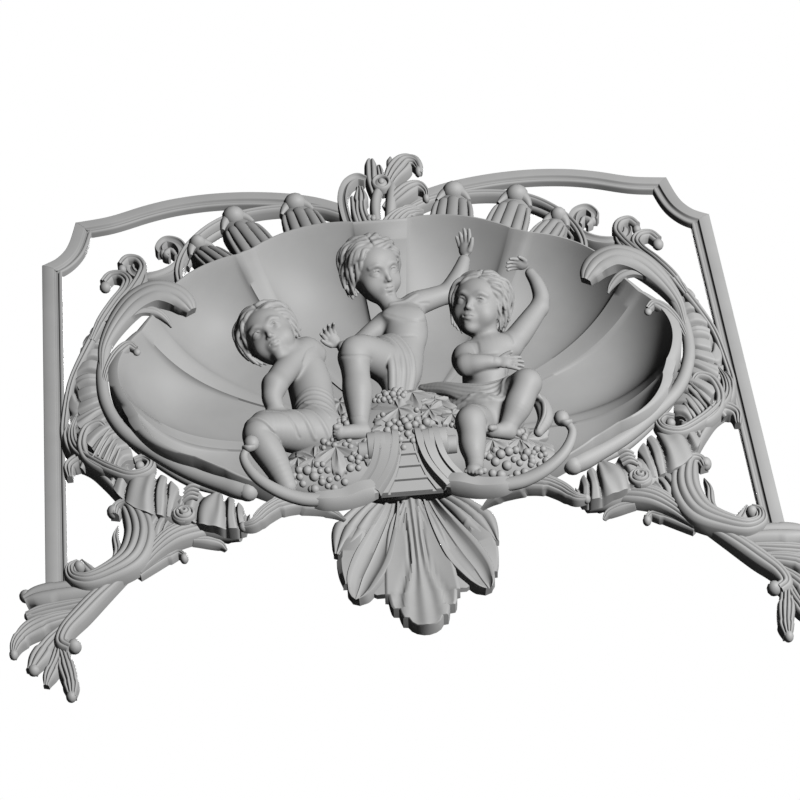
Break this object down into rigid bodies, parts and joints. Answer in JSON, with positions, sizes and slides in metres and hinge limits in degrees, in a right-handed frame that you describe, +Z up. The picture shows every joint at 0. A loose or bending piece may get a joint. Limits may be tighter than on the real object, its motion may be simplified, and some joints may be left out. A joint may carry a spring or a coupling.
{
  "type": "carved onlay",
  "caption": "Carved overdoor onlay: moulding frame round a fluted shell with seated putti on grapes and vine leaves, scrollwork, crest and pendant leaf.",
  "frame": {"origin": "on the centre line of the onlay, on the flat back of the shell that lies against the wall", "axes": "+X to the viewer's right along the wall, -Y out of the wall towards the viewer, +Z up"},
  "size_m": [1.0886, 0.1469, 0.9769],
  "materials": {
    "primed_wood": "carved wood under an even coat of grey primer, satin"
  },
  "bodies": {
    "root": {"left_stile": "primed_wood", "right_stile": "primed_wood", "left_corner": "primed_wood", "right_corner": "primed_wood", "left_top_rail": "primed_wood", "right_top_rail": "primed_wood", "shell": "primed_wood", "left_rim_scroll": "primed_wood", "right_rim_scroll": "primed_wood", "left_foot_scroll": "primed_wood", "right_foot_scroll": "primed_wood", "left_side_scroll": "primed_wood", "right_side_scroll": "primed_wood", "left_small_c_scroll": "primed_wood", "right_small_c_scroll": "primed_wood", "left_gadroons": "primed_wood", "right_gadroons": "primed_wood", "left_lower_leaf": "primed_wood", "right_lower_leaf": "primed_wood", "left_apron": "primed_wood", "right_apron": "primed_wood", "bracket": "primed_wood", "left_front_arm": "primed_wood", "right_front_arm": "primed_wood", "left_acanthus": "primed_wood", "right_acanthus": "primed_wood", "pendant_leaf": "primed_wood", "crest": "primed_wood", "left_putto": "primed_wood", "right_putto": "primed_wood", "centre_putto": "primed_wood", "fruit_bed": "primed_wood"}
  },
  "joints": []
}
